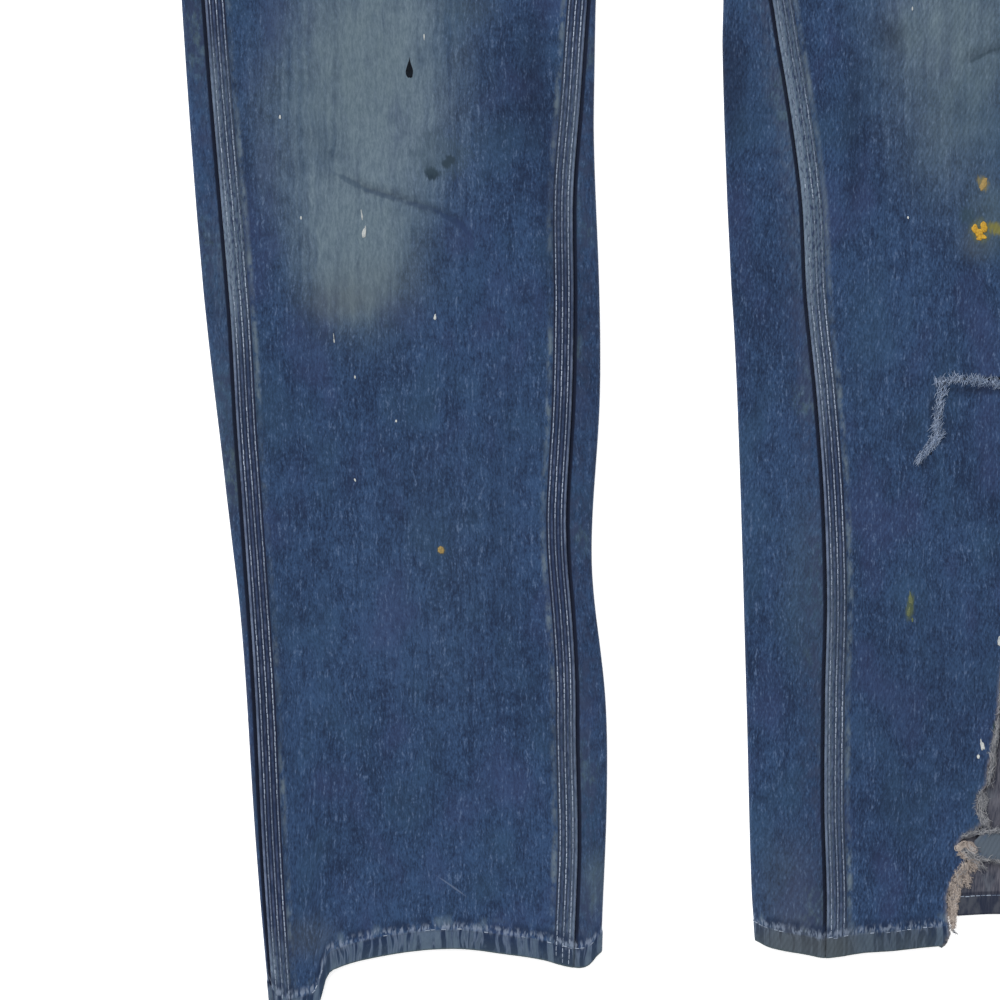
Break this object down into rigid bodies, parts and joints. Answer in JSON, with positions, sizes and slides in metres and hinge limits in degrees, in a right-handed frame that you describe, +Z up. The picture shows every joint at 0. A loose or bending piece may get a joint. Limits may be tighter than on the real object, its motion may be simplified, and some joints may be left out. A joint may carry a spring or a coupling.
{
  "type": "paint spattered dungarees",
  "caption": "Worn blue denim bib-and-brace dungarees laid out flat on their back, legs apart, with a frayed rip at one hem, a slashed shin, dirt and dried paint spots.",
  "frame": {"origin": "middle of the footprint, on the surface the garment lies on", "axes": "+Z up from that surface, through the layers; +Y from the hems to the shoulder folds; +X to the wearer's left leg"},
  "size_m": [0.6652, 1.6018, 0.0106],
  "materials": {
    "denim": "worn, faded twill",
    "hardware": "dull, tarnished"
  },
  "bodies": {
    "root": {"right_leg_front": "denim", "right_leg_back": "denim", "left_leg_front": "denim", "left_leg_back": "denim", "bib_front": "denim", "bib_back": "denim", "waistband": "denim", "strap_right": "denim", "strap_left": "denim", "strap_buckle_right": "hardware", "strap_buckle_left": "hardware", "strap_slider_right": "hardware", "strap_slider_left": "hardware", "bib_button_right": "hardware", "bib_button_left": "hardware", "waist_button_right": "hardware", "waist_button_left": "hardware", "hip_button_right": "hardware", "hip_button_left": "hardware"}
  },
  "joints": []
}
